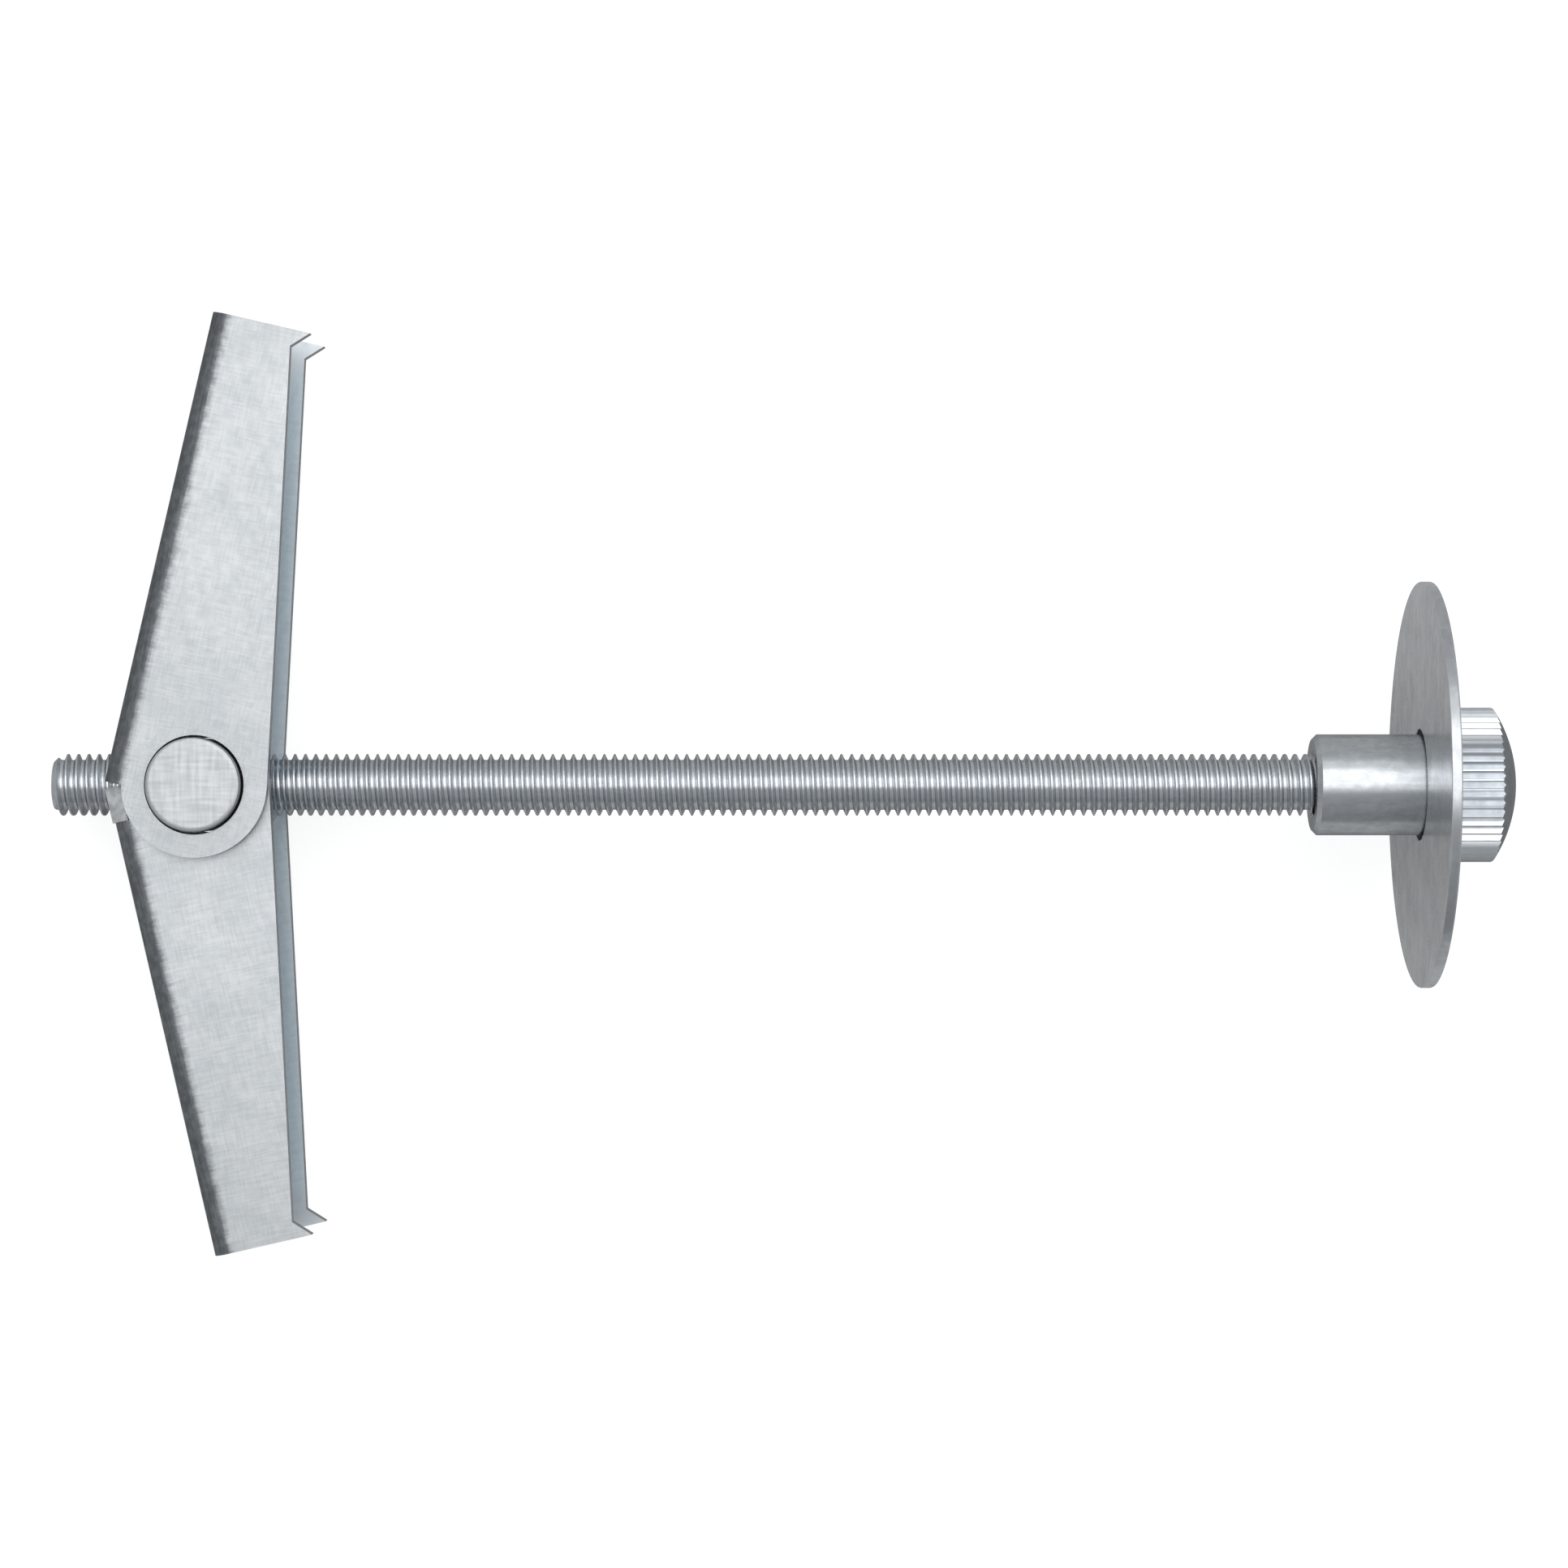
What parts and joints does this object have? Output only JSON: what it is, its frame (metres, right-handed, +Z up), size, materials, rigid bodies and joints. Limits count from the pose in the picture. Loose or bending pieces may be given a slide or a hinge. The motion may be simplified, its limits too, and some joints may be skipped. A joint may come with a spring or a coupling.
{
  "type": "spring toggle anchor",
  "caption": "Two-wing sheet-steel toggle on a threaded rod, with a broad washer and a knurled domed sleeve nut, for fixing through hollow walls and ceilings.",
  "frame": {"origin": "on the floor, below the middle of the lying part", "axes": "+X along the part towards the nut, +Y the way the upper wing points, +Z up. The part lies on the rim of its washer and on the lower end of its pivot barrel, so the rod rises by about five degrees towards the nut"},
  "size_m": [0.1412, 0.0904, 0.0393],
  "materials": {
    "rod_steel": "bright zinc plate on a rolled thread",
    "barrel_steel": "zinc plated, turned",
    "spring_steel": "drawn wire",
    "wing_sheet": "pale galvanised sheet with bright cut edges",
    "washer_steel": "zinc plated, fine straight grain",
    "nut_steel": "bright zinc plate, turned and knurled"
  },
  "bodies": {
    "barrel": {"pivot_barrel": "barrel_steel", "torsion_spring": "spring_steel"},
    "wing_up": {"upper_wing": "wing_sheet"},
    "wing_down": {"lower_wing": "wing_sheet"},
    "washer": {"washer": "washer_steel"},
    "rod": {"threaded_rod": "rod_steel", "sleeve_nut": "nut_steel"}
  },
  "joints": [
    {"name": "upper_wing_fold", "type": "hinge", "parent": "barrel", "child": "wing_up", "pos_m": [-0.05593, 0, 0.00915], "axis": [0.0889, 0, -0.996], "range_deg": [0, 80], "stiffness_Nm_per_rad": 0.02, "springref_deg": -28.65, "deforming": ["torsion_spring"]},
    {"name": "lower_wing_fold", "type": "hinge", "parent": "barrel", "child": "wing_down", "pos_m": [-0.05593, 0, 0.00915], "axis": [-0.0889, 0, 0.996], "range_deg": [0, 80], "stiffness_Nm_per_rad": 0.02, "springref_deg": -28.65, "deforming": ["torsion_spring"]},
    {"name": "screw_travel", "type": "slide", "parent": "barrel", "child": "washer", "axis": [-0.996, 0, -0.0889], "range_m": [-0.009, 0.06]},
    {"name": "rod_turn", "type": "hinge", "parent": "washer", "child": "rod", "pos_m": [-0.05593, 0, 0.00915], "axis": [-0.996, 0, -0.0889], "range_deg": [-3241, 21601]}
  ],
  "couplings": [
    {"joint": "rod_turn", "follows": "screw_travel", "rad_per_m": 6283.2}
  ]
}
